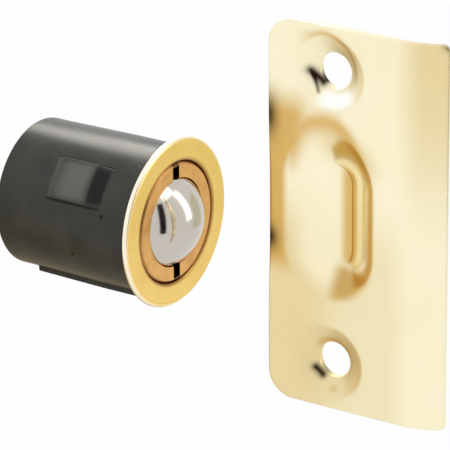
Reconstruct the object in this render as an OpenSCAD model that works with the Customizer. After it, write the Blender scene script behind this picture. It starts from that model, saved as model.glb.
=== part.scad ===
// Drive-in ball catch and its full-lip strike plate.
// The barrel lies along X: the back of its flange is at the origin and its ball points to +X.
// The strike plate stands beside it with its front face towards -Y. Millimetres, +Z up.

/* [Barrel housing] */
// Outside diameter of the moulded barrel
barrel_d = 22.2; // [21.6:0.1:24]
// Length of the barrel behind the flange
barrel_len = 23.8; // [23.4:0.1:30]
// Length of the slimmer pilot at the back end
pilot_len = 3; // [2:0.1:5]
// How much smaller the pilot is, on the radius
pilot_step = 0.2; // [0.18:0.01:0.5]
// Length of the long, faint taper from the pilot to the barrel's full size
pilot_blend = 12; // [6:0.5:16]
// Bevel round the back end
back_bevel = 0.35; // [0.1:0.05:0.8]
// Thickness of the closed back wall
back_wall = 1.8; // [1:0.1:2.4]
// Wall of the housing round the brass sleeve
mouth_wall = 1.1; // [0.8:0.05:1.3]
// Bore of the chamber behind the brass sleeve
chamber_d = 17.2; // [16.6:0.1:17.8]
// Height of the boss that centres the spring on the back wall
boss_len = 1.4; // [0.5:0.1:1.8]

/* [Grip barbs and key rib] */
// Number of barbs round the barrel
barb_count = 2; // [1:1:3]
// Angle of the first barb, from the side facing -Y up towards +Z
barb_angle = 37; // [30:1:45]
// Width of a barb, as an angle round the barrel
barb_span = 34; // [20:1:45]
// Length of a barb
barb_len = 9.5; // [6:0.1:12]
// Distance from the flange to a barb
barb_gap = 5.7; // [2:0.1:8]
// Height of a barb above the barrel
barb_h = 0.7; // [0.3:0.05:1]
// Length of the lead-in slope at the barb's back end
barb_lead = 1.7; // [0.5:0.1:3]
// Length of the slope at the barb's flange end
barb_drop = 2.1; // [0.3:0.1:3]
// Width of the relief line along each side of a barb, as an angle
relief_span = 1.6; // [1:0.1:3]
// Depth of the relief lines
relief_depth = 0.25; // [0.1:0.05:0.5]
// Angle of the key rib, measured as the barbs are
rib_angle = -70; // [-85:1:-55]
// Height of the key rib above the barrel
rib_h = 0.72; // [0.3:0.02:1]
// Width of the key rib at its foot
rib_w = 2.4; // [1.5:0.1:4]
// Width of the key rib at its top
rib_top_w = 1.5; // [0.8:0.1:1.5]

/* [Flanged sleeve] */
// Diameter of the flange
flange_d = 25.4; // [25:0.1:29]
// Thickness of the flange
flange_t = 0.8; // [0.6:0.05:1.5]
// Rounding of the flange's outer front edge
flange_edge = 0.3; // [0.1:0.05:0.45]
// Rounding of the flange's inner front edge
mouth_edge = 0.4; // [0.1:0.05:0.5]
// Length of the sleeve behind the flange
sleeve_len = 9; // [8.6:0.1:11]
// Wall of the sleeve
sleeve_wall = 0.85; // [0.5:0.05:0.9]

/* [Adjusting ring] */
// Running clearance between the ring and the sleeve, on the radius
thread_gap = 0.06; // [0.02:0.01:0.1]
// Length of the ring
ring_len = 7.2; // [6:0.1:7.6]
// How far the ring's face lies behind the flange's face
ring_inset = 0.05; // [0:0.05:0.4]
// Bevel round the ring's outer front edge
ring_bevel = 0.35; // [0.1:0.05:0.5]
// Hole in the ring's lip
lip_hole_d = 13.4; // [12.4:0.1:14]
// Straight edge of the lip's hole
lip_edge = 0.25; // [0.15:0.05:0.5]
// Width of the two driver slots
slot_w = 1.5; // [1:0.1:2.5]
// How far the slots reach out from the lip's hole
slot_reach = 1.85; // [1:0.05:1.9]
// Depth of the driver slots
slot_depth = 1.6; // [1:0.1:2.5]

/* [Ball, follower and spring] */
// Diameter of the steel ball
ball_d = 15.875; // [15.5:0.025:16.2]
// Clearance round the ball in its seats
ball_gap = 0.06; // [0.03:0.01:0.1]
// Clearance round the ball in the ring's bore, on the radius
bore_gap = 0.11; // [0.05:0.01:0.2]
// Clearance of the follower in the chamber, on the radius
follower_gap = 0.2; // [0.1:0.05:0.4]
// Distance from the ring to the follower's rim
follower_setback = 0.6; // [0.3:0.1:2]
// Thickness of the follower behind the ball
follower_floor = 1; // [0.8:0.1:1.5]
// Length of the spigot that centres the spring
spigot_len = 1.8; // [1:0.1:2]
// Diameter of the spring's wire
wire_d = 0.75; // [0.5:0.05:0.8]
// Mean diameter of the spring
spring_d = 12.4; // [11:0.1:13.6]
// Number of turns of the spring
spring_turns = 5; // [4:0.5:5]
// Clearance at each end of the spring
spring_gap = 0.05; // [0.02:0.01:0.2]
// Clearance between the spring and what centres it
spigot_gap = 0.6; // [0.3:0.1:1]

/* [Strike plate] */
// Height of the plate
plate_h = 57.15; // [55:0.05:64]
// Width of the plate's flat part
plate_flat = 22.2; // [21:0.1:28]
// Thickness of the sheet
plate_t = 1.2; // [0.8:0.1:1.5]
// Radius of the lip's front face
lip_r = 10.5; // [7:0.5:16]
// Angle that the lip turns through
lip_bend = 37; // [20:1:60]
// Radius of the plate's two corners away from the lip
corner_r = 4; // [2:0.5:6]
// Radius of the lip's two corners
lip_corner_r = 1.2; // [0.8:0.1:1.9]
// Distance between the two screw holes
hole_spacing = 43.4; // [43:0.1:46]
// Distance from the plate's edge to the screw holes and the recess
hole_inset = 10.2; // [9.8:0.1:11.4]
// Diameter of the screw holes
hole_d = 5.3; // [4:0.1:5.6]
// Diameter of the pressed countersinks
sink_d = 11.6; // [9:0.1:12]
// Depth of the countersinks
sink_depth = 1.8; // [1.2:0.1:2.4]

/* [Ball recess of the strike] */
// Width of the recess at the plate's face
recess_w = 15.4; // [14:0.1:17]
// Height of the recess at the plate's face
recess_h = 25.2; // [23:0.1:29]
// Width of the recess's flat floor, which is as much shorter than the mouth as it is narrower
floor_w = 4.8; // [4.4:0.1:7]
// Depth of the recess
recess_depth = 2.6; // [1.5:0.1:4]

/* [Place of the strike beside the barrel] */
// Distance from the flange's back to the plate's near edge
strike_x = 21.5; // [12:0.5:60]
// Place of the plate's front face
strike_y = -7.2; // [-30:0.1:30]
// Height of the plate's middle above the barrel's axis
strike_z = 9.2; // [-20:0.1:40]

/* [Hidden] */
$fn = 96;

barrel_r = barrel_d / 2;
pilot_r = barrel_r - pilot_step;
sleeve_r = barrel_r - mouth_wall;
sleeve_bore_r = sleeve_r - sleeve_wall;
press_gap = 0.02;
// How far the relief lines run past the ends of a barb
relief_over = 0.3;
chamber_r = chamber_d / 2;
back_x = -barrel_len;
back_wall_x = back_x + back_wall;

ring_r = sleeve_bore_r - thread_gap;
ring_face_x = flange_t - ring_inset;
ring_back_x = ring_face_x - ring_len;
lip_hole_r = lip_hole_d / 2;
lip_back_x = ring_face_x - lip_edge;

ball_r = ball_d / 2;
seat_r = ball_r + ball_gap;
ball_x = lip_back_x - sqrt(seat_r * seat_r - lip_hole_r * lip_hole_r);
ring_bore_r = ball_r + bore_gap;

follower_r = chamber_r - follower_gap;
follower_rim_x = ring_back_x - follower_setback;
follower_back_x = ball_x - seat_r - follower_floor;
spigot_r = (spring_d - wire_d) / 2 - spigot_gap;

spring_back_x = back_wall_x + spring_gap + wire_d / 2;
spring_front_x = follower_back_x - spring_gap - wire_d / 2;
// Turns that lie closed at each end of the spring
closed_turns = 0.75;
spring_steps_per_turn = 18;
wire_sides = 8;

hole_r = hole_d / 2;
sink_r = sink_d / 2;
// Width of the soft shoulder round a countersink
sink_shoulder = 0.9;
lip_reach = lip_r * sin(lip_bend);
plate_w = plate_flat + lip_reach;
// How far the corners' outline runs past the lip's end, so that its round cuts the end cleanly
lip_overcut = 0.3;

// Power of the recess's slope: its edge is soft at the face and crisp at the floor
recess_ease = 1.7;
// Height of the recess's cutter above the face, which keeps its soft edge a clean cut
recess_skim = 0.02;
recess_steps = 8;
cut = 1;

// Turns a form made round Z, with its foot at z = 0, so that it runs along +X
module along_x() {
    rotate([0, 90, 0]) children();
}

// Turns a form along X to an angle measured from -Y up towards +Z
module round_barrel(angle) {
    rotate([-angle, 0, 0]) children();
}

// One moulded barb, facing -Y: a pad with a slope at each end and a relief line along each side
module barb_pad() {
    back = -barb_gap - barb_len;
    front = -barb_gap;
    along_x()
        rotate([0, 0, 270 - barb_span / 2])
            rotate_extrude(angle = barb_span)
                polygon([
                    [barrel_r - mouth_wall / 2, back],
                    [pilot_r, back],
                    [barrel_r + barb_h, back + barb_lead],
                    [barrel_r + barb_h, front - barb_drop],
                    [barrel_r, front],
                    [barrel_r - mouth_wall / 2, front]
                ]);
}

module barb_reliefs() {
    for (side = [-1, 1])
        along_x()
            rotate([0, 0, 270 + side * barb_span / 2 - relief_span / 2])
                rotate_extrude(angle = relief_span)
                    translate([barrel_r - relief_depth, -barb_gap - barb_len - relief_over])
                        square([relief_depth + barb_h + cut, barb_len + 2 * relief_over]);
}

// The rib that keys the barrel in its bored hole, facing -Y
module key_rib() {
    foot_r = barrel_r - mouth_wall / 2;
    rotate([180, 0, 0])
        rotate([0, -90, 0])
            linear_extrude(barrel_len - pilot_len)
                polygon([
                    [-rib_w / 2, foot_r],
                    [rib_w / 2, foot_r],
                    [rib_w / 2, barrel_r],
                    [rib_top_w / 2, barrel_r + rib_h],
                    [-rib_top_w / 2, barrel_r + rib_h],
                    [-rib_w / 2, barrel_r]
                ]);
}

module housing() {
    color([0.16, 0.16, 0.15])
    difference() {
        union() {
            along_x() {
                translate([0, 0, back_x])
                    cylinder(r1 = pilot_r - back_bevel, r2 = pilot_r, h = back_bevel);
                translate([0, 0, back_x + back_bevel])
                    cylinder(r = pilot_r, h = pilot_len - back_bevel);
                translate([0, 0, back_x + pilot_len])
                    cylinder(r1 = pilot_r, r2 = barrel_r, h = pilot_blend);
                translate([0, 0, back_x + pilot_len + pilot_blend])
                    cylinder(r = barrel_r, h = barrel_len - pilot_len - pilot_blend);
            }
            for (i = [0 : barb_count - 1])
                round_barrel(barb_angle + i * 360 / barb_count) barb_pad();
            round_barrel(rib_angle) key_rib();
        }
        difference() {
            along_x()
                translate([0, 0, back_wall_x])
                    cylinder(r = chamber_r, h = barrel_len);
            along_x()
                translate([0, 0, back_wall_x - cut])
                    cylinder(r = spigot_r, h = boss_len + cut);
        }
        along_x()
            translate([0, 0, -sleeve_len])
                cylinder(r = sleeve_r + press_gap, h = sleeve_len + cut);
        for (i = [0 : barb_count - 1])
            round_barrel(barb_angle + i * 360 / barb_count) barb_reliefs();
    }
}

// Points of a rounded corner: a quarter turn of the given radius about a centre
function corner(centre, r, from, steps = 4) = [
    for (i = [0 : steps])
        let (a = from - i * 90 / steps)
        [centre[0] + r * cos(a), centre[1] + r * sin(a)]
];

module flange_sleeve() {
    color([0.86, 0.68, 0.30])
    along_x()
        rotate_extrude()
            polygon(concat(
                [[sleeve_bore_r, -sleeve_len], [sleeve_bore_r, flange_t - mouth_edge]],
                corner([sleeve_bore_r + mouth_edge, flange_t - mouth_edge], mouth_edge, 180),
                corner([flange_d / 2 - flange_edge, flange_t - flange_edge], flange_edge, 90),
                [[flange_d / 2, 0], [sleeve_r, 0], [sleeve_r, -sleeve_len]]
            ));
}

module adjusting_ring() {
    color([0.80, 0.55, 0.24])
    difference() {
        along_x() {
            translate([0, 0, ring_back_x])
                cylinder(r = ring_r, h = ring_len - ring_bevel);
            translate([0, 0, ring_face_x - ring_bevel])
                cylinder(r1 = ring_r, r2 = ring_r - ring_bevel, h = ring_bevel);
        }
        along_x()
            translate([0, 0, ring_back_x - cut])
                cylinder(r = ring_bore_r, h = ball_x - ring_back_x + cut);
        along_x()
            translate([0, 0, ball_x])
                cylinder(r = lip_hole_r, h = ball_r + cut);
        translate([ball_x, 0, 0])
            sphere(r = seat_r);
        translate([ring_face_x - slot_depth, -slot_w / 2, -lip_hole_r - slot_reach])
            cube([slot_depth + cut, slot_w, 2 * (lip_hole_r + slot_reach)]);
    }
}

module ball() {
    color([0.78, 0.78, 0.80])
    translate([ball_x, 0, 0])
        sphere(r = ball_r);
}

// The cup between the ball and the spring
module follower() {
    color([0.82, 0.80, 0.74])
    difference() {
        along_x() {
            translate([0, 0, follower_back_x])
                cylinder(r = follower_r, h = follower_rim_x - follower_back_x);
            translate([0, 0, follower_back_x - spigot_len])
                cylinder(r = spigot_r, h = spigot_len + cut / 2);
        }
        translate([ball_x, 0, 0])
            sphere(r = seat_r);
    }
}

// Place of the spring's centre line along X after a number of turns: its end turns lie closed
function spring_place(turn) =
    let (
        open_turns = spring_turns - 2 * closed_turns,
        closed_rise = closed_turns * wire_d,
        open_rise = spring_front_x - spring_back_x - 2 * closed_rise,
        after_open = turn - closed_turns - open_turns
    )
    turn < closed_turns ? spring_back_x + turn * wire_d :
    after_open < 0 ? spring_back_x + closed_rise + (turn - closed_turns) / open_turns * open_rise :
    spring_back_x + closed_rise + open_rise + after_open * wire_d;

// Faces of a closed tube whose points come ring by ring
function tube_faces(rings, sides) = concat(
    [[for (j = [0 : sides - 1]) j]],
    [for (i = [0 : rings - 2], j = [0 : sides - 1])
        let (k = (j + 1) % sides)
        [i * sides + j, (i + 1) * sides + j, (i + 1) * sides + k]],
    [for (i = [0 : rings - 2], j = [0 : sides - 1])
        let (k = (j + 1) % sides)
        [i * sides + j, (i + 1) * sides + k, i * sides + k]],
    [[for (j = [sides - 1 : -1 : 0]) (rings - 1) * sides + j]]
);

module spring() {
    steps = round(spring_turns * spring_steps_per_turn);
    points = [
        for (i = [0 : steps], j = [0 : wire_sides - 1])
            let (
                turn = i * spring_turns / steps,
                along = turn * 360,
                section = -j * 360 / wire_sides,
                r = spring_d / 2 + wire_d / 2 * cos(section)
            )
            [spring_place(turn) + wire_d / 2 * sin(section), r * cos(along), r * sin(along)]
    ];
    color([0.62, 0.62, 0.63])
    polyhedron(points, tube_faces(steps + 1, wire_sides));
}

// Outline of the plate, seen from the front, with its soft and its almost square corners
module plate_outline() {
    top = plate_h / 2;
    far = plate_w + lip_overcut;
    translate([corner_r, -top])
        square([far - corner_r - lip_corner_r, plate_h]);
    translate([0, corner_r - top])
        square([far / 2, plate_h - 2 * corner_r]);
    translate([far / 2, lip_corner_r - top])
        square([far / 2, plate_h - 2 * lip_corner_r]);
    for (side = [-1, 1]) {
        translate([corner_r, side * (top - corner_r)])
            circle(r = corner_r);
        translate([far - lip_corner_r, side * (top - lip_corner_r)])
            circle(r = lip_corner_r);
    }
}

// The sheet before it is pressed: a flat part and a lip that curves back
module bent_sheet() {
    intersection() {
        union() {
            translate([0, 0, -plate_h / 2])
                cube([plate_flat, plate_t, plate_h]);
            translate([plate_flat, lip_r, 0])
                rotate([0, 0, -90])
                    rotate_extrude(angle = lip_bend)
                        translate([lip_r - plate_t, -plate_h / 2])
                            square([plate_t, plate_h]);
        }
        translate([0, lip_r, 0])
            rotate([90, 0, 0])
                linear_extrude(2 * lip_r)
                    plate_outline();
    }
}

// Profile of the recess from its middle line out: its surface is moved back by set_back
function recess_side(set_back) = [
    for (i = [recess_steps : -1 : 0])
        let (share = i / recess_steps)
        [
            (floor_w + (recess_w - floor_w) * share) / 2,
            set_back - recess_skim + recess_depth * pow(1 - share, recess_ease)
        ]
];

// The recess as a closed form that starts at start_y: a straight part and two half-round ends
module recess_form(start_y, set_back) {
    side = recess_side(set_back);
    end_z = (recess_h - recess_w) / 2;
    floor_y = set_back - recess_skim + recess_depth;
    translate([0, 0, -end_z])
        linear_extrude(2 * end_z)
            polygon(concat(
                [[-recess_w / 2, start_y], [recess_w / 2, start_y]],
                side,
                [for (i = [recess_steps : -1 : 0]) [-side[i][0], side[i][1]]]
            ));
    for (side_up = [-1, 1])
        translate([0, 0, side_up * end_z])
            rotate([-90, 0, 0])
                rotate([0, 0, 90 + side_up * 90])
                    rotate_extrude(angle = 180)
                        polygon(concat(
                            [[0, start_y], [recess_w / 2, start_y]],
                            side,
                            [[0, floor_y]]
                        ));
}

// The countersink's front: a soft shoulder, a cone and the screw hole
module sink_cutter() {
    rotate([-90, 0, 0]) {
        rotate_extrude()
            polygon([
                [0, -cut],
                [sink_r, -cut],
                [sink_r, 0],
                [sink_r - sink_shoulder / 2, sink_shoulder / 8],
                [sink_r - sink_shoulder, sink_shoulder / 2],
                [hole_r + sink_shoulder / 4, sink_depth],
                [0, sink_depth]
            ]);
        cylinder(r = hole_r, h = sink_depth + plate_t + cut);
    }
}

// The countersink's back: the same cone pressed out behind the plate
module sink_back() {
    rotate([-90, 0, 0])
        translate([0, 0, plate_t / 2])
            cylinder(r1 = sink_r + sink_shoulder, r2 = hole_r + plate_t, h = sink_depth + plate_t / 2);
}

module strike_plate() {
    color([0.93, 0.83, 0.56])
    translate([strike_x, strike_y, strike_z])
        difference() {
            union() {
                bent_sheet();
                translate([hole_inset, 0, 0])
                    recess_form(plate_t / 2, plate_t);
                for (side = [-1, 1])
                    translate([hole_inset, 0, side * hole_spacing / 2])
                        sink_back();
            }
            translate([hole_inset, 0, 0])
                recess_form(-cut, 0);
            for (side = [-1, 1])
                translate([hole_inset, 0, side * hole_spacing / 2])
                    sink_cutter();
        }
}

housing();
flange_sleeve();
adjusting_ring();
ball();
follower();
spring();
strike_plate();
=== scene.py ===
import math

import bmesh
import bpy
import numpy as np
from mathutils import Matrix, Vector


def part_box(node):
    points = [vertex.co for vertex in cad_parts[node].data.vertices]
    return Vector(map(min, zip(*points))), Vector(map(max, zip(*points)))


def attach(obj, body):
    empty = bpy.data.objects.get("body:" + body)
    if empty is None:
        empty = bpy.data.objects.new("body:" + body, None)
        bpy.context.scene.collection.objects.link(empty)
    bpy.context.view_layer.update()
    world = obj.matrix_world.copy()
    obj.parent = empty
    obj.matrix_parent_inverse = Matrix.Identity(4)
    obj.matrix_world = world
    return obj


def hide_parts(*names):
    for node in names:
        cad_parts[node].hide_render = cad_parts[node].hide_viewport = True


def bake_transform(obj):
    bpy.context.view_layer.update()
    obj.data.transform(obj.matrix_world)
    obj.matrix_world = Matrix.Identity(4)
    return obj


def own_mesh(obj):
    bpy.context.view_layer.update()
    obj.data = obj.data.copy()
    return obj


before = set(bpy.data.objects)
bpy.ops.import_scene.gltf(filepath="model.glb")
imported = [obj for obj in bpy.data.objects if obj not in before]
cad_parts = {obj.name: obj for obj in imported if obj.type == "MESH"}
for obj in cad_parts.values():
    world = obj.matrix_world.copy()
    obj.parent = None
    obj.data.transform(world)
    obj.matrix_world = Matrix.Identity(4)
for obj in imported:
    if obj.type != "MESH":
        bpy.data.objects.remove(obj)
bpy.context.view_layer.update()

MM = 0.001

# The moulded barrel, in millimetres. X runs along it, with 0 at the back of the flange
BARREL_R = 11.1
PILOT_R = 10.9
BACK = -23.8
PILOT_END = -20.8
TAPER_END = -8.8
BACK_BEVEL = 0.4
SOCKET_R = 10.02
CHAMBER_R = 8.6
CHAMBER_BACK = -22.0
BOSS_R = 5.22
BOSS_FACE = -20.6

# Its two grip barbs and its key rib. Angles are in degrees, from -Y up towards +Z
BARB_ANGLES = (37.0, 217.0)
BARB_HALF = 17.0
BARB_BACK = -15.2
BARB_FRONT = -5.7
BARB_H = 0.7
BARB_LEAD = 1.5
BARB_DROP = 2.1
SIDE_LINE = 0.16
BACK_LINE = 0.03
FRONT_LINE = 0.07
RIB_ANGLE = -70.0
RIB_H = 0.72
RIB_TOP_HALF = 3.9
RIB_FOOT_HALF = 6.0

# The brass sleeve with its flange, and half the width of the adjusting ring's driver slots
FLANGE_FACE = 0.8
FLANGE_R = 12.7
CROWN_IN = 9.75
CROWN_TOP = 11.0
CROWN_OUT = 12.1
CROWN_FALL = 0.012
ROUND_STEPS = 192
SLEEVE_R = 10.0
SLEEVE_END = -9.0
BORE_R = 9.15
SLOT_HALF = 0.75

# The strike plate and its place beside the barrel
PLATE_AT = (21.5, -7.2, 9.2)
PLATE_H = 57.15
PLATE_FLAT = 22.2
PLATE_T = 1.2
LIP_R = 10.5
LIP_BEND = math.radians(37)
CORNER_R = 4.0
LIP_CORNER_R = 0.9
HOLE_X = 10.2
HOLE_Z = 21.7
HOLE_R = 2.65
SINK_R = 5.8
SINK_DEPTH = 1.98
SINK_EASE = 0.18
RECESS_W = 15.4
RECESS_H = 25.2
RECESS_DEPTH = 2.58
RECESS_EASE = 1.45
RECESS_TOP_REACH = 0.35
FLOOR_W = 4.8
MARGIN_W = 3.4
MARGIN_HALF = 10.5
MARGIN_DIP = 0.3

# Where the plate's front ends, inside its rounded edges, and a place across it that its outline goes round
EDGE_R = 0.2
PLATE_NEAR = EDGE_R
PLATE_FAR = PLATE_FLAT + LIP_R * LIP_BEND - EDGE_R
PLATE_TOP = PLATE_H / 2 - EDGE_R
PLATE_MIDDLE = 14.0

# The points of the plate's front: a square block round each screw hole, and the stretches beside the blocks
BLOCK_HALF = SINK_R + 0.35
BLOCK_STEPS = 24
NEAR_COLUMNS = 17
FLAT_COLUMNS = 12
LIP_COLUMNS = 15
MIDDLE_ROWS = 92

# The coil spring: its wire, its turns, and where its centre line starts and is parted along the barrel
WIRE_R = 0.375
WIRE_STEPS = 12
SPRING_R = 6.2
SPRING_TURNS = 5
TURN_STEPS = 24
CLOSED_TURNS = 0.75
SPRING_BACK = -21.575
SPRING_SPLIT = 1.75


# Surfaces

def smoothstep(low, high, value):
    """0 below low, 1 above high, and 3t^2 - 2t^3 between them, t being the share of the way."""
    t = np.clip((value - low) / (high - low), 0, 1)
    return t * t * (3 - 2 * t)


def window(value, rise, fall):
    """A soft step up over the rise and one down over the fall, each from one value to another."""
    return smoothstep(*rise, value) * (1 - smoothstep(*fall, value))


def bell(off, width, power=2):
    """1 where off is 0, falling on both sides as e to the minus (off / width) to an even power."""
    return np.exp(-(off / width) ** power)


def unit(vectors):
    """Each vector over its own length."""
    return vectors / np.linalg.norm(vectors, axis=-1, keepdims=True)


def scene_object(name, data):
    """A new object in the scene's own collection."""
    piece = bpy.data.objects.new(name, data)
    bpy.context.scene.collection.objects.link(piece)
    return piece


def mesh_piece(name, points, faces, body, slot, material):
    """A smooth mesh from points in millimetres and lists of faces, with its doubles merged and its faces
    turned outwards. It stands for the CAD node of its slot's name, and rides on a body if it is given one."""
    mesh = bpy.data.meshes.new(name)
    mesh.from_pydata(points.reshape(-1, 3) * MM, [], faces)
    work = bmesh.new()
    work.from_mesh(mesh)
    bmesh.ops.remove_doubles(work, verts=work.verts, dist=1e-7)
    bmesh.ops.dissolve_degenerate(work, dist=1e-8, edges=work.edges)
    bmesh.ops.recalc_face_normals(work, faces=work.faces)
    work.to_mesh(mesh)
    work.free()
    mesh.polygons.foreach_set("use_smooth", np.ones(len(mesh.polygons), bool))
    mesh.materials.append(material)
    piece = scene_object(name, mesh)
    if body:
        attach(piece, body)
    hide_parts(slot)
    return piece


def vertex_places(piece):
    """The places of a piece's vertices, in millimetres."""
    place = np.empty(3 * len(piece.data.vertices))
    piece.data.vertices.foreach_get("co", place)
    return place.reshape(-1, 3) / MM


def store_mask(piece, name, values):
    """Keeps one number for each vertex under a name that the piece's material can read."""
    layer = piece.data.attributes.new(name, "FLOAT", "POINT")
    layer.data.foreach_set("value", np.asarray(values, np.float32))


def grid_faces(rows, columns, close_columns=False):
    """Quads between neighbouring rows and columns of a grid of points, numbered row by row."""
    last = columns if close_columns else columns - 1
    i, j = np.meshgrid(np.arange(rows - 1), np.arange(last), indexing="ij")
    here = i * columns + j
    beside = i * columns + (j + 1) % columns
    return np.stack([here, beside, beside + columns, here + columns], -1).reshape(-1, 4)


def rounded(corners, support=0.03, steps=5):
    """A profile through corners (x, r) or (x, r, fillet): a fillet becomes an arc tangent to both its
    sides. A support point just outside each end of an arc keeps the shading of the straight sides
    flat."""
    path = []
    for i, (x, r, *fillet) in enumerate(corners):
        corner = np.array([x, r])
        if not fillet:
            path.append(corner)
            continue
        before = unit(np.array(corners[i - 1][:2]) - corner)
        after = unit(np.array(corners[i + 1][:2]) - corner)
        half = math.acos(np.clip(np.dot(before, after), -1, 1)) / 2
        reach = fillet[0] / math.tan(half)
        middle = corner + unit(before + after) * fillet[0] / math.sin(half)
        start = corner + before * reach
        end = corner + after * reach
        a = start - middle
        b = end - middle
        sweep = math.atan2(a[0] * b[1] - a[1] * b[0], np.dot(a, b))
        turn = sweep * np.linspace(0, 1, steps + 1)[:, None]
        arc = middle + a * np.cos(turn) + np.array([-a[1], a[0]]) * np.sin(turn)
        path += [start + before * support, *arc, end + after * support]
    return np.array(path)


def turned(profile, angles):
    """Revolves a profile (x, r) about the X axis. An angle, in radians, is measured from -Y up towards
    +Z."""
    x, r = profile.T[:, :, None]
    return np.stack(np.broadcast_arrays(x, -r * np.cos(angles), r * np.sin(angles)), -1)


def spread(edges, low, high, step, fine):
    """Values from low to high, about step apart, with closer ones at a few times fine from each edge.
    One that comes too near the value before it is left out."""
    round_edge = np.array([-3.2, -1.8, -1, -0.5, 0, 0.5, 1, 1.8, 3.2]) * fine
    close = (np.array(edges)[:, None] + round_edge).ravel()
    values = np.concatenate([np.arange(low, high, step), [low, high], close])
    values = np.unique(np.round(np.clip(values, low, high), 5))
    return values[np.concatenate([[True], np.diff(values) > fine * 0.3])]


# The barrel and its flange

def angle_from(angle, centre):
    """The signed difference of an angle from a centre, in degrees, from -180 to 180."""
    return (angle - centre + 180) % 360 - 180


def housing_relief(x, angle):
    """How far the moulded side stands out of its cylinder, in millimetres, at x and at an angle in
    degrees. A barb is a pad that rises from its back in a curve and drops more evenly at its front, times
    a window across it. The lines along its sides, behind it and slanting before it are narrow grooves
    whose section is a bell curve. The key rib is a soft trapezoid across the angle."""
    rise = np.clip((x - BARB_BACK) / BARB_LEAD, 0, 1)
    drop = np.clip((BARB_FRONT - x) / BARB_DROP, 0, 1)
    pad = BARB_H * (1 - (1 - rise) ** 1.6) * drop ** 0.85
    along = window(x, (BARB_BACK - 0.4, BARB_BACK - 0.1), (BARB_FRONT + 0.1, BARB_FRONT + 0.4))
    behind = bell(x - BARB_BACK + 1.0, 0.13)
    out = np.zeros(np.broadcast(x, angle).shape)
    for centre in BARB_ANGLES:
        turn = angle_from(angle, centre)
        off = np.abs(turn)
        before = bell(x - BARB_FRONT - 2.1 + 0.09 * turn, 0.22)
        out += pad * (1 - smoothstep(BARB_HALF - 1.5, BARB_HALF - 0.4, off))
        out -= SIDE_LINE * along * bell(off - BARB_HALF, 0.6)
        out -= BACK_LINE * behind * (1 - smoothstep(BARB_HALF, BARB_HALF + 1.5, off))
        out -= FRONT_LINE * before * (1 - smoothstep(BARB_HALF - 3, BARB_HALF, off))
    rib = RIB_H * (1 - smoothstep(RIB_TOP_HALF, RIB_FOOT_HALF, np.abs(angle_from(angle, RIB_ANGLE))))
    return out + rib * smoothstep(PILOT_END - 0.05, PILOT_END + 0.2, x)


def across_barbs(angle):
    """1 over the two barbs and 0 beside them, in soft steps of the angle in degrees."""
    off = np.minimum(*(np.abs(angle_from(angle, centre)) for centre in BARB_ANGLES))
    return 1 - smoothstep(BARB_HALF - 6, BARB_HALF - 0.5, off)


def barb_pad_painted_highlight(x, angle):
    """A painted highlight on the top of a barb's pad: a window along it, times one across it."""
    along = window(x, (BARB_BACK + 0.2, BARB_BACK + 3.6), (BARB_FRONT - 3.4, BARB_FRONT - 1.8))
    return across_barbs(angle) * along


def barb_slope_painted_shade(x, angle):
    """Painted shade on the steep front of a barb: a window along it, times one across it."""
    along = window(x, (BARB_FRONT - 2.4, BARB_FRONT - 1.7), (BARB_FRONT - 0.2, BARB_FRONT + 0.5))
    return across_barbs(angle) * along


def moulded_housing(material):
    """The black barrel: its outside is a cylinder plus its relief, with a bevelled closed back; its
    inside is the chamber, the boss for the spring and the socket of the brass sleeve, all turned."""
    barb_edges = [centre + side * half for centre in BARB_ANGLES for side in (-1, 1)
                  for half in (BARB_HALF - 1, BARB_HALF)]
    rib_edges = [RIB_ANGLE + 360 + side * half for side in (-1, 1) for half in (RIB_TOP_HALF, RIB_FOOT_HALF)]
    angle = spread(barb_edges + rib_edges, 0, 360, 2.5, 0.5)[:-1]
    side_start = PILOT_END - 0.4
    back_edges = [PILOT_END, BARB_BACK - 1.0, BARB_BACK, BARB_BACK + BARB_LEAD]
    front_edges = [BARB_FRONT - BARB_DROP, BARB_FRONT]
    side_x = spread(back_edges + front_edges, side_start, 0, 0.45, 0.09)
    side = np.stack([side_x, np.interp(side_x, [PILOT_END, TAPER_END], [PILOT_R, BARREL_R])], -1)
    back = rounded([(BACK, 0), (BACK, PILOT_R, BACK_BEVEL), (side_start, PILOT_R)])[:-1]
    inside = rounded([
        (0, BARREL_R),
        (0, SOCKET_R, 0.05),
        (SLEEVE_END, SOCKET_R, 0.1),
        (SLEEVE_END, CHAMBER_R, 0.1),
        (CHAMBER_BACK, CHAMBER_R, 0.5),
        (CHAMBER_BACK, BOSS_R, 0.3),
        (BOSS_FACE, BOSS_R, 0.2),
        (BOSS_FACE, 0),
    ])[1:]
    profile = np.concatenate([back, side, inside])
    points = turned(profile, np.radians(angle))
    relief = np.zeros(points.shape[:2])
    relief[len(back):len(back) + len(side)] = housing_relief(side_x[:, None], angle)
    points[..., 1] -= relief * np.cos(np.radians(angle))
    points[..., 2] += relief * np.sin(np.radians(angle))
    faces = grid_faces(len(profile), len(angle), True).tolist()
    piece = mesh_piece("moulded_housing", points, faces, "barrel", "housing", material)
    x, y, z = vertex_places(piece).T
    angle = np.degrees(np.arctan2(z, -y))
    # The pad mask holds a painted highlight on the barbs' tops
    store_mask(piece, "pad", barb_pad_painted_highlight(x, angle))
    # The slope mask holds painted shade on the barbs' steep fronts
    store_mask(piece, "slope", barb_slope_painted_shade(x, angle))


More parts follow.
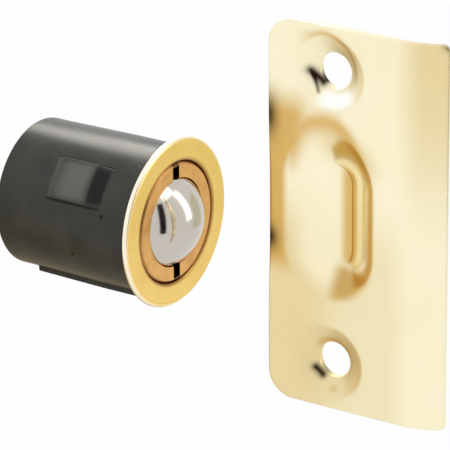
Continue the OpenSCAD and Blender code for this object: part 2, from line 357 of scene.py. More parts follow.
def rolled_flange(material):
    """The brass sleeve: one closed turned profile with rounded rims, whose front is a flat parabola."""
    r = np.linspace(CROWN_IN, CROWN_OUT, 12)
    face = np.stack([FLANGE_FACE - CROWN_FALL * ((r - CROWN_TOP) / 1.3) ** 2, r], -1)
    inner = rounded([(SLEEVE_END, BORE_R), (FLANGE_FACE, BORE_R, 0.42), (FLANGE_FACE, CROWN_IN)])[:-1]
    outer = rounded([
        (FLANGE_FACE, CROWN_OUT),
        (FLANGE_FACE, FLANGE_R, 0.52),
        (0, FLANGE_R, 0.08),
        (0, SLEEVE_R, 0.03),
        (SLEEVE_END, SLEEVE_R, 0.1),
        (SLEEVE_END, BORE_R),
    ])[1:]
    profile = np.concatenate([inner, face, outer])
    angles = np.linspace(0, 2 * np.pi, ROUND_STEPS + 1)[:-1]
    faces = grid_faces(len(profile), len(angles), True).tolist()
    mesh_piece("rolled_flange", turned(profile, angles), faces, "barrel", "flange_sleeve", material)


# The strike plate: s runs across its flat and on round the lip, and z up, from the plate's own place

def hole_distance(s, z):
    """The distance from the middle of the nearer screw hole."""
    return np.hypot(s - HOLE_X, np.abs(z) - HOLE_Z)


def hole_polar(s, z, side):
    """The distance and the angle in degrees from the middle of the upper (1) or the lower (-1) screw
    hole."""
    across = s - HOLE_X
    up = z - side * HOLE_Z
    return np.hypot(across, up), np.degrees(np.arctan2(up, across))


def recess_share(s, z):
    """0 on the edge of the recess's stadium floor and 1 on its rim, growing with the distance out."""
    half_line = (RECESS_H - RECESS_W) / 2
    out = np.hypot(s - HOLE_X, np.maximum(np.abs(z) - half_line, 0)) - FLOOR_W / 2
    return out / ((RECESS_W - FLOOR_W) / 2)


def top_shoulder(s, z):
    """1 over the recess's top, easing to 0 down its sides and towards the lip."""
    return smoothstep(5, 15, z) * (1 - smoothstep(10, 19, s))


def plate_depth(s, z):
    """How far the plate's front is pressed back, in millimetres. The recess falls as (1 - share) to a
    power, share being the way out from its floor, and reaches further out at its top. The margin beside
    it has a wide faint dip. Each countersink is a cone of even slope, SINK_DEPTH deep at its screw hole,
    but for an exponential that eases it into the flat over SINK_EASE of its reach."""
    share = recess_share(s, z) / (1 + RECESS_TOP_REACH * top_shoulder(s, z))
    recess = RECESS_DEPTH * (1 - np.clip(share, 0, 1)) ** RECESS_EASE
    margin = MARGIN_DIP * bell(z, MARGIN_HALF, 4) * np.clip(1 - s / MARGIN_W, 0, 1) ** 2
    t = np.clip((SINK_R - hole_distance(s, z)) / (SINK_R - HOLE_R), 0, 1.2)
    return recess + margin + SINK_DEPTH * (t - SINK_EASE * (1 - np.exp(-t / SINK_EASE)))


def spot(s, z, at, size, power=2):
    """A blotch about a point: a bell curve across times one up."""
    return bell(s - at[0], size[0], power) * bell(z - at[1], size[1], power)


def scorch(s, z, start, end, width):
    """A bell curve of the distance from a short line between two points."""
    along = np.array(end) - start
    t = np.clip(((s - start[0]) * along[0] + (z - start[1]) * along[1]) / np.dot(along, along), 0, 1)
    return bell(np.hypot(s - start[0] - t * along[0], z - start[1] - t * along[1]), width)


def crescent(s, z, side, near, far, width, first, last):
    """A bell curve about a line round a screw hole, windowed from the first to the last angle in degrees.
    The line's distance from the hole's middle grows from near to far as it goes round."""
    r, angle = hole_polar(s, z, side)
    line = near + (far - near) * smoothstep(10, 115, angle)
    return window(angle, (first - 25, first + 15), (last - 15, last + 25)) * bell(r - line, width)


def painted_bronze_reflection(s, z):
    """Where painted bronze reflections and shade deepen the brass: on the margin beside the recess, along
    the recess's rim except at its lower left, on the right half of its floor, at its foot, and on a crescent
    of each countersink, with a spot below the lower one."""
    share = recess_share(s, z)
    top = top_shoulder(s, z)
    right = s - HOLE_X
    margin = smoothstep(0.82, 1.08, share) * (1 - smoothstep(4.0, 8.5, s))
    margin = margin * window(z, (-10.5, -6.5), (14.0, 19.5))
    rim = bell(share - 0.76 - 0.6 * top, 0.17 + 0.1 * top)
    rim = rim * np.maximum(0.9 * smoothstep(4, 10, z), 0.35 * smoothstep(2, 6, right))
    fold = 0.95 * smoothstep(-0.2, 1.5, right) * (1 - smoothstep(0.05, 0.3, share))
    fold = fold * (1 - smoothstep(6.2, 8.0, np.abs(z)))
    foot = 0.95 * smoothstep(-1.2, 1.4, right) * (1 - smoothstep(0.75, 1.02, share))
    foot = foot * (1 - smoothstep(-8.2, -6.6, z))
    upper_sink = 0.8 * crescent(s, z, 1, 3.9, 6.0, 0.42, 0, 125)
    lower_sink = 0.75 * crescent(s, z, -1, 2.9, 3.1, 0.5, 30, 140)
    below_sink = 0.6 * spot(s, z, (10.6, -25.8), (0.8, 0.5))
    return np.maximum.reduce([margin, rim, fold, foot, upper_sink, lower_sink, below_sink])


def painted_dark_marks(s, z):
    """Dark painted reflections and shade: brown blotches where the bronze margin ends, a dark mark at the
    left of each screw hole, one on the lip's top corner, and a faint one at the recess's foot."""
    margin_ends = 0.95 * spot(s, z, (0, 13.8), (1.5, 3.0)) + spot(s, z, (0, -4.6), (1.6, 1.9))
    upper_hole = scorch(s, z, (6.5, 21.3), (8.3, 19.7), 0.62)
    upper_tail = 0.8 * scorch(s, z, (6.7, 20.8), (7.9, 18.4), 0.22)
    lower_hole = scorch(s, z, (7.3, -23.3), (8.5, -24.3), 0.55)
    lip_corner = 0.9 * spot(s, z, (28.7, 28.5), (0.9, 0.7))
    recess_foot = 0.17 * spot(s, z, (HOLE_X + 1.8, -9.5), (2.2, 2.2), 4)
    return np.minimum(margin_ends + upper_hole + upper_tail + lower_hole + lip_corner + recess_foot, 1)


def painted_sink_highlight(s, z):
    """A painted highlight low in the upper countersink: a ring's bell curve, windowed about straight down."""
    r, angle = hole_polar(s, z, 1)
    return bell(r - 4.2, 1.1, 4) * window(angle, (-125, -105), (-55, -25))


def painted_dim_reflection(s, z):
    """A darker painted reflection, deepening the brass a little: on the lower left of the flat, inside the
    recess's top and on the upper part of the lip."""
    share = recess_share(s, z)
    low = (1 - 0.5 * smoothstep(6, 14, s)) * (1 - smoothstep(19, 24.5, s)) * (1 - smoothstep(-6, 6, z))
    low = low * (0.15 + 0.85 * smoothstep(0.3, 0.9, share))
    under_top = 0.75 * smoothstep(6, 11, z) * (1 - smoothstep(1.0, 1.5, share)) * smoothstep(6.5, 10.5, s)
    lip = smoothstep(20.5, 25.5, s) * smoothstep(-4, 24, z)
    return np.maximum.reduce([low, under_top, lip])


def sunk_tint(s, z):
    """The two countersinks, which the punch left duller than the flat, but for the painted highlight."""
    inside = 1 - smoothstep(SINK_R - 0.6, SINK_R + 0.6, hole_distance(s, z))
    return inside * (1 - 0.8 * painted_sink_highlight(s, z))


def plate_front(s, z):
    """The points of the plate's front: the flat, then the lip's arc about its centre behind the front, with
    the pressed depth taken towards the back."""
    depth = plate_depth(s, z)
    arc = np.clip(s - PLATE_FLAT, 0, None) / LIP_R
    x = np.where(s < PLATE_FLAT, s, PLATE_FLAT + (LIP_R - depth) * np.sin(arc))
    y = np.where(s < PLATE_FLAT, depth, LIP_R - (LIP_R - depth) * np.cos(arc))
    return np.stack([x, y, z], -1) + PLATE_AT


def hole_block(z0):
    """Rings of points (s, z) from the round edge of a screw hole at the height z0 out to its square
    block."""
    side = np.linspace(-BLOCK_HALF, BLOCK_HALF, BLOCK_STEPS + 1)[:-1]
    edge = np.full_like(side, BLOCK_HALF)
    square = np.concatenate([
        np.stack([side, -edge], -1), np.stack([edge, side], -1),
        np.stack([-side, edge], -1), np.stack([-edge, -side], -1)])
    rim = HOLE_R + EDGE_R
    radii = np.concatenate([[rim, rim + 0.08], np.linspace(HOLE_R + 0.5, SINK_R + 0.05, 16)])
    points = np.concatenate([radii[:, None, None] * unit(square), square[None]]) + np.array([HOLE_X, z0])
    return np.concatenate([points, points[:, :1]], 1)


def corner_inset(drop, radius):
    """How far a rounded corner's quarter circle lies inside its side, at a distance from the plate's
    end."""
    return radius - np.sqrt(radius ** 2 - np.clip(radius - drop, 0, radius) ** 2)


def plate_blocks():
    """The plate's front as blocks of points (s, z) that share their edges: plain ones, and in the middle
    column two with a round hole. Rows crowd towards the plate's two ends, and are drawn in along its
    rounded corners: the nearer a point is to its own long edge, the more of the corner's inset it
    takes."""
    s_low, s_high = HOLE_X - BLOCK_HALF, HOLE_X + BLOCK_HALF
    z_low, z_high = HOLE_Z - BLOCK_HALF, HOLE_Z + BLOCK_HALF
    end = PLATE_TOP - np.concatenate([np.linspace(PLATE_TOP - z_high, 0.5, 4), np.linspace(0.6, 0, 7) ** 2])
    beside_hole = np.linspace(s_high, PLATE_FLAT, FLAT_COLUMNS)
    on_lip = np.linspace(PLATE_FLAT, PLATE_FAR, LIP_COLUMNS)[1:]
    columns = (
        np.linspace(PLATE_NEAR, s_low, NEAR_COLUMNS),
        np.linspace(s_low, s_high, BLOCK_STEPS + 1),
        np.concatenate([beside_hole, on_lip]),
    )
    rows = (
        -end[::-1],
        np.linspace(-z_high, -z_low, BLOCK_STEPS + 1),
        np.linspace(-z_low, z_low, MIDDLE_ROWS),
        np.linspace(z_low, z_high, BLOCK_STEPS + 1),
        end,
    )
    blocks = []
    for i, s in enumerate(columns):
        for j, z in enumerate(rows):
            if i == 1 and j in (1, 3):
                blocks.append(hole_block(HOLE_Z * (j - 2)))
            else:
                blocks.append(np.stack(np.meshgrid(s, z, indexing="ij"), -1))
    for block in blocks:
        s = block[..., 0]
        drop = PLATE_TOP - np.abs(block[..., 1])
        near = np.clip((s_low - s) / (s_low - PLATE_NEAR), 0, 1) * corner_inset(drop, CORNER_R - EDGE_R)
        far = np.clip((s - PLATE_FLAT) / (PLATE_FAR - PLATE_FLAT), 0, 1)
        block[..., 0] = s + near - far * corner_inset(drop, LIP_CORNER_R - EDGE_R)
    return blocks


def joined(blocks):
    """Blocks as one net of points (s, z) and faces, with each point that blocks share kept once."""
    points, faces, count = [], [], 0
    for block in blocks:
        rows, columns = block.shape[:2]
        points.append(block.reshape(-1, 2))
        faces.append(grid_faces(rows, columns) + count)
        count += rows * columns
    points, faces = np.concatenate(points), np.concatenate(faces)
    whole = np.round(points * 1e4).astype(int)
    _, first, label = np.unique(whole, axis=0, return_index=True, return_inverse=True)
    return points[first], label.reshape(-1)[faces]


def face_normals(points, faces):
    """The cross product of each quad's diagonals, whose length is twice the quad's area."""
    a, b, c, d = (points[faces[:, corner]] for corner in range(4))
    return np.cross(c - a, d - b)


def vertex_normals(points, faces):
    """Unit normals at the points: the sum of the normals of the faces round each."""
    of_faces = face_normals(points, faces)
    normals = np.zeros_like(points)
    for corner in faces.T:
        np.add.at(normals, corner, of_faces)
    return unit(normals)


def border_of(faces):
    """The numbers of the points on an open border, whose edges only one face has."""
    edges = np.sort(np.stack([faces, np.roll(faces, -1, 1)], -1).reshape(-1, 2), 1)
    edges = edges[edges[:, 0] != edges[:, 1]]
    edges, times = np.unique(edges, axis=0, return_counts=True)
    return np.unique(edges[times == 1])


def rim_rings(edge, outward, facing):
    """Points from a front edge round to the back one: a quarter round of EDGE_R, the cut wall, and another
    quarter round."""
    turn = np.radians([22.5, 45, 67.5, 90])[:, None, None]
    out = EDGE_R * outward * np.sin(turn)
    fall = EDGE_R * facing * (1 - np.cos(turn))
    return np.concatenate([edge + out - fall, (edge - facing * PLATE_T + out + fall)[::-1]])


def closing_rim(front, facing, loop, sense, count):
    """The rings of points that join a loop of the front's border to the back's, and their faces. They
    stand out to one side of the loop or the other by its sense, and their numbers start at the count."""
    along = unit(np.roll(front[loop], -1, 0) - np.roll(front[loop], 1, 0))
    outward = sense * unit(np.cross(along, facing[loop]))
    rings = rim_rings(front[loop], outward, facing[loop])
    numbers = count + np.arange(rings[..., 0].size).reshape(rings.shape[:2])
    numbers = np.concatenate([loop[None], numbers, loop[None] + len(front)])
    return rings.reshape(-1, 3), numbers.ravel()[grid_faces(*numbers.shape, True)]


def pressed_plate(material):
    """The strike plate: its front is the net of blocks, moved back by the pressed depth. Its back is the
    front moved by the thickness against the normals, which look straight ahead round the screw holes.
    Rounded rims close the outline and the two holes. The masks leave the back plain."""
    net, faces = joined(plate_blocks())
    s, z = net.T
    front = plate_front(s, z)
    backward = face_normals(front, faces)[:, 1] > 0
    faces[backward] = faces[backward][:, ::-1]
    straight = 1 - smoothstep(HOLE_R + EDGE_R, HOLE_R + 1.2, hole_distance(s, z))[:, None]
    facing = unit(vertex_normals(front, faces) * (1 - straight) + np.array([0, -1, 0]) * straight)
    points = [front, front - facing * PLATE_T]
    all_faces = [faces, faces[:, ::-1] + len(front)]

    border = border_of(faces)
    at_hole = hole_distance(s[border], z[border]) < HOLE_R + 1
    upper = z[border] > 0
    for loop, centre, sense in (
            (border[at_hole & ~upper], (HOLE_X, -HOLE_Z), -1),
            (border[at_hole & upper], (HOLE_X, HOLE_Z), -1),
            (border[~at_hole], (PLATE_MIDDLE, 0), 1)):
        loop = loop[np.argsort(np.arctan2(z[loop] - centre[1], s[loop] - centre[0]))]
        rim, rim_faces = closing_rim(front, facing, loop, sense, sum(map(len, points)))
        points.append(rim)
        all_faces.append(rim_faces)
    all_faces = np.concatenate(all_faces).tolist()
    piece = mesh_piece("pressed_plate", np.concatenate(points), all_faces, "barrel", "strike_plate", material)

    s, _, z = (vertex_places(piece) - PLATE_AT).T
    seen = np.ones(len(s))
    seen[len(front):2 * len(front)] = 0
    # Masks of painted reflections, shade and highlight, and of the rougher countersinks
    for name, tint in (
            ("painted_bronze", painted_bronze_reflection),
            ("painted_dark", painted_dark_marks),
            ("painted_highlight", painted_sink_highlight),
            ("painted_dim", painted_dim_reflection),
            ("sunk", sunk_tint)):
        store_mask(piece, name, seen * tint(s, z))


# The spring

def spring_line(turns):
    """The wire's place along the barrel at a count of turns: even steps, but for the closed end turns."""
    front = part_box("spring")[1][0] / MM - WIRE_R
    rise = 2 * WIRE_R * CLOSED_TURNS
    return np.interp(
        turns,
        (0, CLOSED_TURNS, SPRING_TURNS - CLOSED_TURNS, SPRING_TURNS),
        (SPRING_BACK, SPRING_BACK + rise, front - rise, front))


def spring_length(name, start, end, body, material):
    """A length of the coil spring between two counts of turns: a round wire carried along a helix, with a
    face over each of its two cuts."""
    turn = np.linspace(start, end, round((end - start) * TURN_STEPS) + 1)
    along = 2 * np.pi * turn[:, None]
    section = np.linspace(0, 2 * np.pi, WIRE_STEPS + 1)[:-1]
    x = spring_line(turn)[:, None] + WIRE_R * np.sin(section)
    r = SPRING_R + WIRE_R * np.cos(section)
    points = np.stack([x, r * np.cos(along), r * np.sin(along)], -1).reshape(-1, 3)
    faces = grid_faces(len(turn), WIRE_STEPS, True).tolist()
    faces += [list(range(WIRE_STEPS)), list(range(len(points) - WIRE_STEPS, len(points)))]
    return mesh_piece(name, points, faces, body, "spring", material)


def coil_spring(material):
    """The spring as two lengths that meet, where the real one shortens as the adjusting ring turns in and as
    the ball is pressed: the back one, between the barrel and the carrier, is baked in place on no body, and
    the front one rides on the carrier."""
    back_length = spring_length("spring_back", 0, SPRING_SPLIT, None, material)
    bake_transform(back_length)
    front_length = spring_length("spring_front", SPRING_SPLIT, SPRING_TURNS, "carrier", material)
    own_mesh(front_length)


# Shader nodes

# Which inputs of a Mix node are its lower and upper value, and which output is the result, by data type
MIX_SOCKETS = {"RGBA": (6, 7, 2), "FLOAT": (2, 3, 0)}

# How high a cell's random number is where it holds a speck, and how deep the grain goes, in metres
SPECK_CHANCE = 0.84
GRAIN_DEPTH = 0.0001


def feed(tree, socket, value):
    """Links an input to the socket that feeds it, or sets it to a constant."""
    if isinstance(value, bpy.types.NodeSocket):
        tree.links.new(value, socket)
    else:
        socket.default_value = value


def fed_node(tree, kind, inputs):
    """A new node whose inputs are each fed by a socket or a constant."""
    node = tree.nodes.new(kind)
    for label, value in inputs.items():
        feed(tree, node.inputs[label], value)
    return node


def operation_node(tree, kind, operation, *values):
    """A node that has an operation, with its inputs fed in their order."""
    node = tree.nodes.new(kind)
    node.operation = operation
    for socket, value in zip(node.inputs, values):
        feed(tree, socket, value)
    return node


def arithmetic(tree, operation, *values):
    """The result of a Math node."""
    return operation_node(tree, "ShaderNodeMath", operation, *values).outputs[0]


def mixed(tree, kind, share, lower, upper):
    """A share of one colour or number over another."""
    below, above, result = MIX_SOCKETS[kind]
    node = tree.nodes.new("ShaderNodeMix")
    node.data_type = kind
    feed(tree, node.inputs["Factor"], share)
    feed(tree, node.inputs[below], lower)
    feed(tree, node.inputs[above], upper)
    return node.outputs[result]


def named_group(name, inputs, outputs):
    """A shader node group with its sockets, what its input node gives and what its output node takes."""
    group = bpy.data.node_groups.new(name, "ShaderNodeTree")
    for label, kind, value in inputs:
        group.interface.new_socket(name=label, in_out="INPUT", socket_type=kind).default_value = value
    for label, kind in outputs:
        group.interface.new_socket(name=label, in_out="OUTPUT", socket_type=kind)
    return group, group.nodes.new("NodeGroupInput").outputs, group.nodes.new("NodeGroupOutput").inputs


def uneven_finish():
    """Cloudy unevenness and fine specks on Object coordinates: a colour, a roughness and a height. A
    smooth noise takes the colour from Base towards Tint and adds to the roughness. A speck of either kind
    is the middle of a Voronoi cell, out to its size, in the cells whose own random number is high."""
    group, given, result = named_group(
        "uneven_finish",
        [
            ("Base", "NodeSocketColor", (0.5, 0.5, 0.5, 1)),
            ("Tint", "NodeSocketColor", (0.5, 0.5, 0.5, 1)),
            ("Cloud Scale", "NodeSocketFloat", 200.0),
            ("Cloud Share", "NodeSocketFloat", 0.3),
            ("Speck", "NodeSocketColor", (0.1, 0.1, 0.1, 1)),
            ("Speck Scale", "NodeSocketFloat", 600.0),
            ("Speck Size", "NodeSocketFloat", 0.12),
            ("Dust", "NodeSocketColor", (0.5, 0.5, 0.5, 1)),
            ("Dust Size", "NodeSocketFloat", 0.0),
            ("Roughness", "NodeSocketFloat", 0.3),
            ("Roughness Spread", "NodeSocketFloat", 0.1),
            ("Grain Scale", "NodeSocketFloat", 3000.0),
        ],
        [("Color", "NodeSocketColor"), ("Roughness", "NodeSocketFloat"), ("Height", "NodeSocketFloat")])
    place = group.nodes.new("ShaderNodeTexCoord").outputs["Object"]
    cloud = fed_node(group, "ShaderNodeTexNoise", {
        "Vector": place, "Scale": given["Cloud Scale"], "Detail": 4}).outputs["Fac"]
    share = fed_node(group, "ShaderNodeMapRange", {
        "Value": cloud, "From Min": 0.35, "From Max": 0.7, "To Max": given["Cloud Share"]}).outputs["Result"]
    colour = mixed(group, "RGBA", share, given["Base"], given["Tint"])
    cells = fed_node(group, "ShaderNodeTexVoronoi", {"Vector": place, "Scale": given["Speck Scale"]}).outputs
    chance = fed_node(group, "ShaderNodeSeparateColor", {0: cells["Color"]}).outputs
    for channel, label in enumerate(("Speck", "Dust")):
        near = arithmetic(group, "LESS_THAN", cells["Distance"], given[label + " Size"])
        rare = arithmetic(group, "GREATER_THAN", chance[channel], SPECK_CHANCE)
        colour = mixed(group, "RGBA", arithmetic(group, "MULTIPLY", near, rare), colour, given[label])
    grain = fed_node(group, "ShaderNodeTexNoise", {"Vector": place, "Scale": given["Grain Scale"]})
    feed(group, result["Color"], colour)
    feed(group, result["Roughness"], arithmetic(
        group, "MULTIPLY_ADD", cloud, given["Roughness Spread"], given["Roughness"]))
    feed(group, result["Height"], grain.outputs["Fac"])
    return group


def axis_band():
    """How near a point is to a radius: 1 at it, easing to 0 at the width from it. The radius is measured
    in the directions that Across lets through."""
    group, given, result = named_group(
        "axis_band",
        [
            ("Radius", "NodeSocketFloat", 0.01),
            ("Width", "NodeSocketFloat", 0.001),
            ("Across", "NodeSocketVector", (0, 1, 1)),
        ],
        [("Share", "NodeSocketFloat")])
    place = group.nodes.new("ShaderNodeTexCoord").outputs["Object"]
    across = operation_node(group, "ShaderNodeVectorMath", "MULTIPLY", place, given["Across"])
    radius = operation_node(group, "ShaderNodeVectorMath", "LENGTH", across.outputs["Vector"])
    off = arithmetic(group, "SUBTRACT", radius.outputs["Value"], given["Radius"])
    off = arithmetic(group, "ABSOLUTE", off)
    share = fed_node(group, "ShaderNodeMapRange", {
        "Value": off, "From Max": given["Width"], "To Min": 1, "To Max": 0})
    share.interpolation_type = "SMOOTHSTEP"
    feed(group, result["Share"], share.outputs["Result"])
    return group


UNEVEN_FINISH = uneven_finish()
AXIS_BAND = axis_band()

# What an axis band lets through: rings about the barrel's axis, or the walls of the slots across it
RINGS = (0, 1, 1)
SLOT_WALLS = (0, 1, 0)


def group_node(tree, group, inputs):
    """A node group placed in a material, with its own values."""
    node = tree.nodes.new("ShaderNodeGroup")
    node.node_tree = group
    for label, value in inputs.items():
        node.inputs[label].default_value = value
    return node.outputs


def node_material(name):
    """A new material, its node tree and its Principled shader."""
    material = bpy.data.materials.new(name)
    material.use_nodes = True
    return material, material.node_tree, material.node_tree.nodes["Principled BSDF"]


def finish(name, values, metallic, bump, specular=0.5):
    """A material whose colour, roughness and grain come from the uneven finish with its own values."""
    material, tree, shader = node_material(name)
    uneven = group_node(tree, UNEVEN_FINISH, values)
    relief = fed_node(tree, "ShaderNodeBump", {
        "Strength": bump, "Distance": GRAIN_DEPTH, "Height": uneven["Height"]})
    shader.inputs["Metallic"].default_value = metallic
    shader.inputs["Specular IOR Level"].default_value = specular
    feed(tree, shader.inputs["Base Color"], uneven["Color"])
    feed(tree, shader.inputs["Roughness"], uneven["Roughness"])
    feed(tree, shader.inputs["Normal"], relief.outputs["Normal"])
    return material


def own_mask(material, name):
    """The share that a piece's own mask of this name gives."""
    where = material.node_tree.nodes.new("ShaderNodeAttribute")
    where.attribute_name = name
    return where.outputs["Fac"]


def band(material, radius, width, across):
    """The share that an axis band gives, for a radius and a width in millimetres."""
    values = {"Radius": radius * MM, "Width": width * MM, "Across": across}
    return group_node(material.node_tree, AXIS_BAND, values)["Share"]


def shade_where(material, share, colour, strength):
    """Blends a colour into a finish by a share, over what the finish had there."""
    tree = material.node_tree
    base = tree.nodes["Principled BSDF"].inputs["Base Color"]
    amount = arithmetic(tree, "MULTIPLY", share, strength)
    feed(tree, base, mixed(tree, "RGBA", amount, base.links[0].from_socket, (*colour, 1)))


def roughen_where(material, share, roughness):
    """Blends another roughness into a finish by a share."""
    tree = material.node_tree
    rough = tree.nodes["Principled BSDF"].inputs["Roughness"]
    feed(tree, rough, mixed(tree, "FLOAT", share, rough.links[0].from_socket, roughness))


# Finishes

def black_nylon():
    """Black moulded nylon with warm clouds, dark specks and faint dust, with a painted highlight on the
    barbs' tops and painted shade on their front slopes."""
    material = finish("black_nylon", {
        "Base": (0.026, 0.026, 0.023, 1),
        "Tint": (0.042, 0.040, 0.033, 1),
        "Cloud Scale": 220,
        "Cloud Share": 0.8,
        "Speck": (0.003, 0.003, 0.003, 1),
        "Speck Scale": 400,
        "Speck Size": 0.15,
        "Dust": (0.075, 0.072, 0.062, 1),
        "Dust Size": 0.09,
        "Roughness": 0.24,
        "Roughness Spread": 0.12,
        "Grain Scale": 2200,
    }, metallic=0, bump=0.08, specular=0.25)
    # A painted highlight on the barbs' pads
    shade_where(material, own_mask(material, "pad"), (0.105, 0.103, 0.094), 0.85)
    # Painted shade on the barbs' steep fronts
    shade_where(material, own_mask(material, "slope"), (0.001, 0.001, 0.001), 0.95)
    return material


def flange_brass():
    """Yellow brass, with painted shade in the corner beside the adjusting ring and a painted highlight
    round its outer rim.
    """
    material = finish("flange_brass", {
        "Base": (0.93, 0.66, 0.21, 1),
        "Tint": (0.86, 0.57, 0.15, 1),
        "Cloud Scale": 260,
        "Cloud Share": 0.6,
        "Speck": (0.25, 0.12, 0.03, 1),
        "Speck Scale": 480,
        "Speck Size": 0.10,
        "Roughness": 0.2,
        "Roughness Spread": 0.12,
        "Grain Scale": 2600,
    }, metallic=1, bump=0.08)
    # Painted shade in the corner between the flange and the adjusting ring
    shade_where(material, band(material, BORE_R, 0.75, RINGS), (0.24, 0.09, 0.02), 0.95)
    # A painted highlight round the flange's outer rim
    shade_where(material, band(material, FLANGE_R + 0.15, 0.7, RINGS), (1.0, 0.97, 0.84), 1.0)
    return material


def ring_brass():
    """Redder brass, with painted shade round its rim and near-black painted shade in its driver slots."""
    material = finish("ring_brass", {
        "Base": (0.82, 0.46, 0.16, 1),
        "Tint": (0.58, 0.28, 0.08, 1),
        "Cloud Scale": 420,
        "Cloud Share": 0.7,
        "Speck": (0.16, 0.05, 0.01, 1),
        "Speck Scale": 900,
        "Speck Size": 0.12,
        "Roughness": 0.24,
        "Roughness Spread": 0.12,
        "Grain Scale": 2600,
    }, metallic=1, bump=0.08)
    # Painted shade in the gap round the ring's rim
    shade_where(material, band(material, BORE_R, 0.6, RINGS), (0.20, 0.07, 0.015), 0.95)
    # Near-black painted shade on the walls and floors of the driver slots
    shade_where(material, band(material, SLOT_HALF, 0.14, SLOT_WALLS), (0.03, 0.012, 0.005), 1.0)
    shade_where(material, band(material, 0.3, 0.5, SLOT_WALLS), (0.03, 0.012, 0.005), 1.0)
    return material


def ball_steel():
    """Polished steel with a warm grey cast."""
    return finish("ball_steel", {
        "Base": (0.57, 0.53, 0.47, 1),
        "Tint": (0.50, 0.47, 0.42, 1),
        "Cloud Scale": 300,
        "Cloud Share": 0.3,
        "Speck": (0.2, 0.2, 0.2, 1),
        "Speck Scale": 500,
        "Speck Size": 0.04,
        "Roughness": 0.1,
        "Roughness Spread": 0.04,
        "Grain Scale": 2600,
    }, metallic=1, bump=0.0)


def cup_acetal():
    """The follower's off-white acetal."""
    return finish("cup_acetal", {
        "Base": (0.66, 0.64, 0.56, 1),
        "Tint": (0.6, 0.57, 0.48, 1),
        "Cloud Scale": 260,
        "Cloud Share": 0.4,
        "Speck": (0.3, 0.28, 0.24, 1),
        "Speck Scale": 500,
        "Speck Size": 0.05,
        "Roughness": 0.38,
        "Roughness Spread": 0.1,
        "Grain Scale": 2600,
    }, metallic=0, bump=0.1)


def spring_steel():
    """Drawn spring wire, grey with a brownish cloud."""
    return finish("spring_steel", {
        "Base": (0.5, 0.5, 0.51, 1),
        "Tint": (0.38, 0.37, 0.36, 1),
        "Cloud Scale": 500,
        "Cloud Share": 0.6,
        "Speck": (0.1, 0.09, 0.08, 1),
        "Speck Scale": 900,
        "Speck Size": 0.08,
        "Roughness": 0.28,
        "Roughness Spread": 0.1,
        "Grain Scale": 3600,
    }, metallic=1, bump=0.12)


def plate_brass():
    """Pale polished brass, with painted reflections, shade and a highlight in its colour: dimmer on the
    lower left and the lip, bronze round the recess, dark marks, and duller countersinks."""
    material = finish("plate_brass", {
        "Base": (0.975, 0.905, 0.65, 1),
        "Tint": (0.95, 0.85, 0.57, 1),
        "Cloud Scale": 90,
        "Cloud Share": 0.6,
        "Speck": (0.75, 0.55, 0.25, 1),
        "Speck Scale": 260,
        "Speck Size": 0.03,
        "Roughness": 0.15,
        "Roughness Spread": 0.06,
        "Grain Scale": 1600,
    }, metallic=1, bump=0.03)
    # Darker painted reflections on the lower left, under the recess's top and on the lip
    shade_where(material, own_mask(material, "painted_dim"), (0.81, 0.66, 0.35), 0.95)
    # Painted bronze reflections and shade round the recess and in the countersinks
    shade_where(material, own_mask(material, "painted_bronze"), (0.69, 0.43, 0.11), 0.95)
    # A painted highlight in the upper countersink
    shade_where(material, own_mask(material, "painted_highlight"), (1.0, 1.0, 0.97), 0.95)
    # Dark painted reflections and shade as blotches and marks
    shade_where(material, own_mask(material, "painted_dark"), (0.025, 0.01, 0.005), 1.0)
    roughen_where(material, own_mask(material, "sunk"), 0.42)
    return material


for node, material in (("adjusting_ring", ring_brass()), ("ball", ball_steel()), ("follower", cup_acetal())):
    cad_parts[node].data.materials.clear()
    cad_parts[node].data.materials.append(material)

moulded_housing(black_nylon())
rolled_flange(flange_brass())
pressed_plate(plate_brass())
coil_spring(spring_steel())


# Studio

# What the camera, the lamps and the cards face, in millimetres
SET_MIDDLE = (14, 0, 5)
PHOTO_MIDDLE = (14.12, -7.2, 4.73)
BARREL_SIDE = (-12, -4, 0)
FLANGE_TOP = (2, 0, 10)
BY_BALL = (-3, 0, 0)
BY_PLATE = (30, -8, 0)
FLOOR_Z = -150
FLOOR_HALF = 3000

# The four corners of a square about its middle, in halves of its sides
SQUARE = ((-1, -1), (1, -1), (1, 1), (-1, 1))

# The photograph's lens and width, in pixels, and how far off the camera is, in metres
FOCAL_PIXELS = 5000
PHOTO_PIXELS = 450
CAMERA_AWAY = 0.7114


def direction(azimuth, elevation):
    """The direction at an azimuth (0 is the front, positive to the right) and an elevation, in degrees."""
    a, e = math.radians(azimuth), math.radians(elevation)
    return np.array([math.sin(a) * math.cos(e), -math.cos(a) * math.cos(e), math.sin(e)])


def staged(name, points, material):
    """A stage surface: one quad from points in millimetres."""
    mesh = bpy.data.meshes.new(name)
    mesh.from_pydata(np.array(points, float) * MM, [], [(0, 1, 2, 3)])
    mesh.materials.append(material)
    piece = scene_object(name, mesh)
    return piece


def white_to_eye(tree, lit, share):
    """Mixes a share of plain white glow into what the camera and the metal see of a lit surface."""
    path = tree.nodes.new("ShaderNodeLightPath").outputs
    seen = arithmetic(tree, "MAXIMUM", path["Is Camera Ray"], path["Is Glossy Ray"])
    glow = fed_node(tree, "ShaderNodeEmission", {"Strength": 1.0}).outputs[0]
    amount = arithmetic(tree, "MULTIPLY", seen, share)
    return fed_node(tree, "ShaderNodeMixShader", {0: amount, 1: lit, 2: glow}).outputs[0]


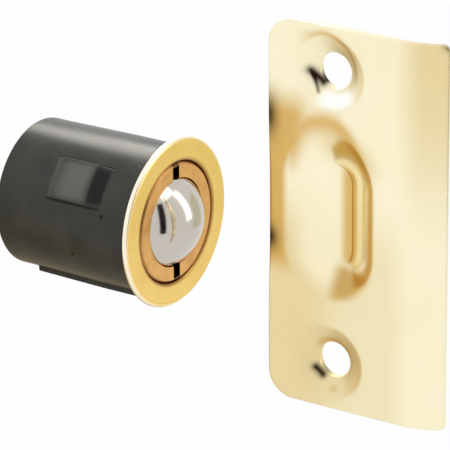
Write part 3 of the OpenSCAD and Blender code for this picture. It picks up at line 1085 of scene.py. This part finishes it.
def pale_floor():
    """White paper well below the set."""
    material, tree, paper = node_material("paper")
    paper.inputs["Base Color"].default_value = (0.8, 0.8, 0.8, 1)
    paper.inputs["Roughness"].default_value = 0.95
    paper.inputs["Specular IOR Level"].default_value = 0.1
    feed(tree, tree.nodes["Material Output"].inputs["Surface"], white_to_eye(tree, paper.outputs[0], 0.97))
    corners = [(i * FLOOR_HALF, j * FLOOR_HALF, FLOOR_Z) for i, j in SQUARE]
    staged("floor", corners, material)


def studio_world():
    """A plain white surround, a little dimmer for what it lights than for the eye."""
    world = bpy.data.worlds.new("surround")
    bpy.context.scene.world = world
    world.use_nodes = True
    tree = world.node_tree
    soft = tree.nodes["Background"]
    soft.inputs["Color"].default_value = (0.97, 0.98, 1, 1)
    soft.inputs["Strength"].default_value = 0.7
    feed(tree, tree.nodes["World Output"].inputs["Surface"], white_to_eye(tree, soft.outputs[0], 1.0))


def card(name, toward, azimuth, elevation, distance, size, colour, strength):
    """A glowing studio card of a width and a height, which faces a point from an azimuth, an elevation
    and a distance. Only reflections and soft light show it, not the camera."""
    away = direction(azimuth, elevation)
    right = direction(azimuth + 90, 0)
    up = np.cross(right, -away)
    up *= np.sign(up[2])
    middle = np.array(toward) + away * distance
    corners = [middle + right * i * size[0] / 2 + up * j * size[1] / 2 for i, j in SQUARE]
    material, tree, _ = node_material(name)
    tree.nodes.clear()
    glow = fed_node(tree, "ShaderNodeEmission", {"Color": (*colour, 1), "Strength": strength})
    fed_node(tree, "ShaderNodeOutputMaterial", {"Surface": glow.outputs[0]})
    piece = staged(name, corners, material)
    piece.visible_camera = False
    piece.visible_shadow = False


def soft_light(name, at, size, watts):
    """An area lamp at a point in millimetres, turned to face the middle of the set."""
    lamp = bpy.data.lights.new(name, "AREA")
    lamp.shape = "RECTANGLE"
    lamp.size = size[0] * MM
    lamp.size_y = size[1] * MM
    lamp.energy = watts
    piece = scene_object(name, lamp)
    piece.visible_glossy = False
    turn = (Vector(SET_MIDDLE) - Vector(at)).to_track_quat("-Z", "Y").to_matrix().to_4x4()
    piece.matrix_world = Matrix.Translation(Vector(at) * MM) @ turn


def photo_camera():
    """The camera of the photograph: 34 degrees round from the front, 21 degrees up, with a long lens and a
    slight roll."""
    away = Vector(direction(34.08, 21.07))
    lens = bpy.data.cameras.new("camera")
    lens.sensor_width = 36
    lens.lens = FOCAL_PIXELS * lens.sensor_width / PHOTO_PIXELS
    lens.clip_start = 0.01
    lens.clip_end = 20
    piece = scene_object("camera", lens)
    turn = away.to_track_quat("Z", "Y").to_matrix().to_4x4() @ Matrix.Rotation(math.radians(-0.23), 4, "Z")
    piece.matrix_world = Matrix.Translation(Vector(PHOTO_MIDDLE) * MM + away * CAMERA_AWAY) @ turn
    bpy.context.scene.camera = piece


pale_floor()
studio_world()
photo_camera()
soft_light("key", at=(-250, -420, 420), size=(420, 300), watts=1.6)
soft_light("side", at=(480, -220, 160), size=(260, 420), watts=0.5)
card("amber_board", BY_PLATE, azimuth=-66, elevation=-22, distance=120, size=(42, 120),
     colour=(0.76, 0.52, 0.17), strength=0.85)
card("top_strip", FLANGE_TOP, azimuth=-137, elevation=38, distance=110, size=(60, 44),
     colour=(1, 0.98, 0.9), strength=9)
card("brown_board", BARREL_SIDE, azimuth=-112, elevation=-56, distance=140, size=(200, 160),
     colour=(0.62, 0.52, 0.36), strength=0.95)
card("dark_flag", BY_BALL, azimuth=61, elevation=12, distance=400, size=(100, 500),
     colour=(0.01, 0.01, 0.01), strength=0.3)
card("white_flag", BY_BALL, azimuth=100, elevation=57, distance=400, size=(230, 130),
     colour=(1, 1, 1), strength=2.2)
card("white_strip", BY_BALL, azimuth=124, elevation=20, distance=400, size=(120, 400),
     colour=(1, 1, 1), strength=2.2)
card("tan_board", BY_BALL, azimuth=151, elevation=-24, distance=400, size=(230, 640),
     colour=(0.80, 0.79, 0.62), strength=1.0)

bpy.context.scene.view_settings.view_transform = "Standard"
